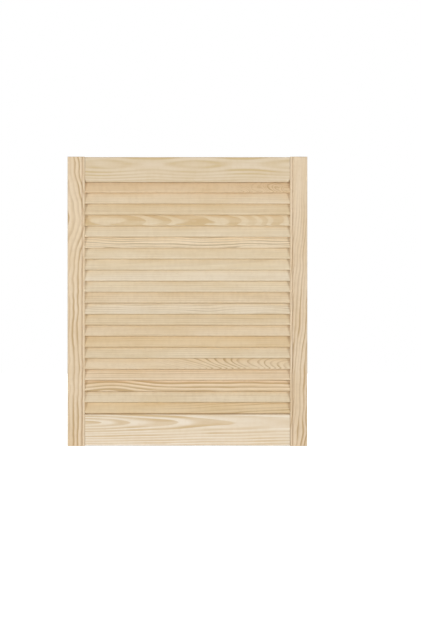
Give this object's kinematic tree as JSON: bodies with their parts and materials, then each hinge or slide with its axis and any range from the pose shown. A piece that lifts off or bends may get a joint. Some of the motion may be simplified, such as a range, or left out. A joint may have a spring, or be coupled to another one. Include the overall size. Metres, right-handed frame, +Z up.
{
  "type": "louvred cabinet door",
  "caption": "Flat framed cabinet door leaf in pale pine: beaded stiles, two rails and fixed slanted slats that let air through.",
  "frame": {"origin": "on the floor plane of the stile ends, under the middle of the leaf", "axes": "+Z up along the stiles, -Y out of the front face, +X to the right seen from the front"},
  "size_m": [0.594, 0.02, 0.717],
  "materials": {
    "stile": "bare sanded pine, grain along the stile",
    "rail": "bare sanded pine, grain along the rail",
    "slat": "bare planed pine, grain along the slat",
    "dowel": "fluted beech"
  },
  "bodies": {
    "root": {"stile_left": "stile", "stile_right": "stile", "rail_top": "rail", "rail_bottom": "rail", "slat_01": "slat", "slat_02": "slat", "slat_03": "slat", "slat_04": "slat", "slat_05": "slat", "slat_06": "slat", "slat_07": "slat", "slat_08": "slat", "slat_09": "slat", "slat_10": "slat", "slat_11": "slat", "slat_12": "slat", "slat_13": "slat", "slat_14": "slat", "slat_15": "slat", "slat_16": "slat", "slat_17": "slat", "slat_18": "slat", "slat_19": "slat", "slat_20": "slat", "slat_21": "slat", "dowel_top_left_outer": "dowel", "dowel_top_left_inner": "dowel", "dowel_bottom_left_outer": "dowel", "dowel_bottom_left_inner": "dowel", "dowel_top_right_outer": "dowel", "dowel_top_right_inner": "dowel", "dowel_bottom_right_outer": "dowel", "dowel_bottom_right_inner": "dowel"}
  },
  "joints": []
}
